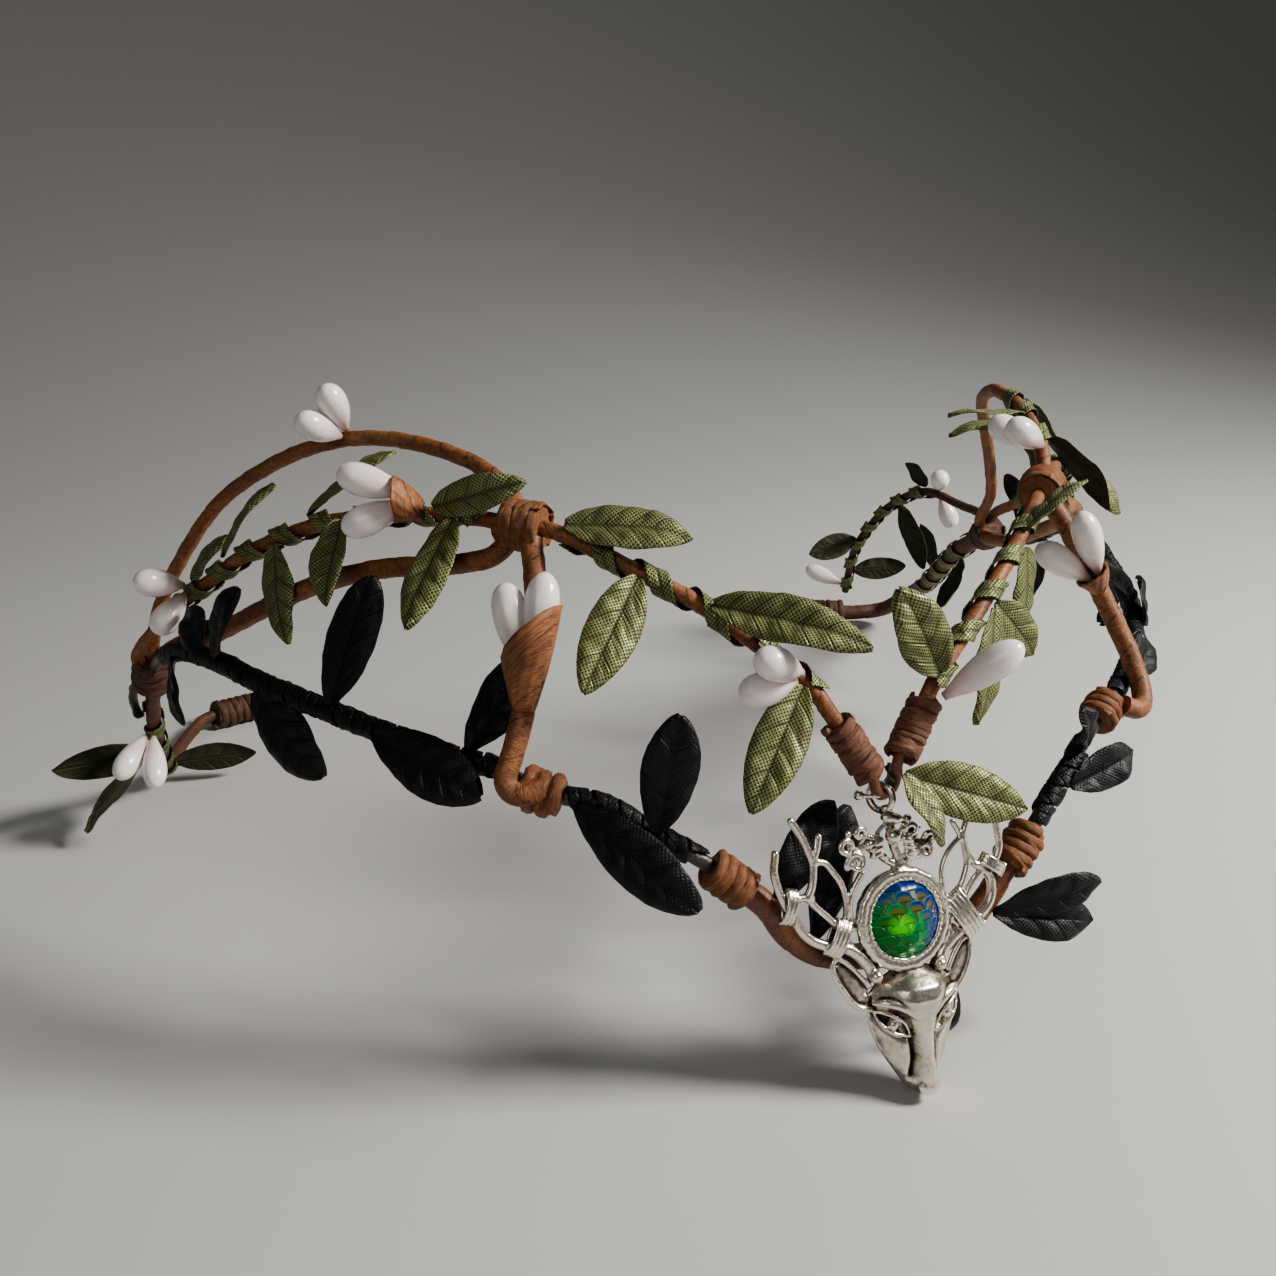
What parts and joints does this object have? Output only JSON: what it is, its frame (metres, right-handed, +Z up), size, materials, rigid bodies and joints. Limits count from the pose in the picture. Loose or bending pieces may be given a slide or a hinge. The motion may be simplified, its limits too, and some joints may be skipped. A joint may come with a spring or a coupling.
{
  "type": "woodland headpiece",
  "caption": "Open woodland circlet of tape-wound wire and leaves, with a stag pendant and round stone at the brow, open at the back.",
  "frame": {"origin": "on the surface that it rests on, under the vertical axis of the head that the ring goes round", "axes": "+Z up and along the head's axis; -Y towards the pendant at the front; +X towards the wearer's left, which is the viewer's right"},
  "size_m": [0.2166, 0.199, 0.0883],
  "materials": {
    "antique_silver": "cast antique silver, bright on its ridges and dark in its recesses",
    "scale_stone": "polished clear dome over green, lime, blue and amber scales",
    "green_leaf_cloth": "metallic woven ribbon cloth, lime where lit and olive in shade, with pressed veins",
    "black_leaf_satin": "black satin with pressed veins and a fine weave",
    "pearl_pip": "glossy pinkish white",
    "raffia_cord": "thin reddish brown twisted paper cord",
    "tape_cord": "twisted brown paper tape, a little frayed",
    "dark_tape": "dark paper tape under a black ribbon",
    "rear_tape": "dark brown paper tape wound round a wire",
    "brown_tape": "caramel brown crepe paper tape wound round a wire"
  },
  "bodies": {
    "root": {"lower_band_left": "dark_tape", "lower_band_right": "dark_tape", "front_yoke": "brown_tape", "bail_wire": "brown_tape", "upper_vine_left": "brown_tape", "upper_vine_right": "brown_tape", "arch_left": "brown_tape", "arch_right": "brown_tape", "inner_vine_left": "brown_tape", "inner_vine_right": "brown_tape", "strut_left": "brown_tape", "strut_right": "brown_tape", "tail_left": "rear_tape", "tail_right": "rear_tape", "branch_right": "rear_tape", "side_winding_left": "tape_cord", "side_winding_right": "tape_cord", "upper_winding_left": "raffia_cord", "upper_winding_right": "raffia_cord", "strut_knot_left": "tape_cord", "strut_knot_right": "tape_cord", "junction_knot_left": "tape_cord", "junction_knot_right": "tape_cord", "rear_knot_left": "tape_cord", "rear_knot_right": "tape_cord", "end_coil_left": "tape_cord", "end_coil_right": "tape_cord", "stag_pendant": "antique_silver", "cabochon": "scale_stone", "green_leaves_left_front": "green_leaf_cloth", "green_leaves_left_rear": "green_leaf_cloth", "green_leaves_right_front": "green_leaf_cloth", "green_leaves_right_rear": "green_leaf_cloth", "green_leaves_arch_right": "green_leaf_cloth", "green_leaves_tail_left": "green_leaf_cloth", "green_leaves_tail_right": "green_leaf_cloth", "green_leaves_branch": "green_leaf_cloth", "bail_leaves": "green_leaf_cloth", "black_leaves_left_front": "black_leaf_satin", "black_leaves_left_rear": "black_leaf_satin", "black_leaves_right_front": "black_leaf_satin", "black_leaves_right_rear": "black_leaf_satin", "yoke_leaves_left": "black_leaf_satin", "yoke_leaves_right": "black_leaf_satin", "pips_strut_left": "pearl_pip", "pips_strut_right": "pearl_pip", "pips_arch_left": "pearl_pip", "pips_arch_right": "pearl_pip", "pips_vine_left": "pearl_pip", "pip_cap_left": "brown_tape", "pips_front_left": "pearl_pip", "pip_front_right": "pearl_pip", "pips_rear_left": "pearl_pip", "pips_tail_left": "pearl_pip", "pips_branch_top": "pearl_pip", "pip_branch_end": "pearl_pip"}
  },
  "joints": []
}
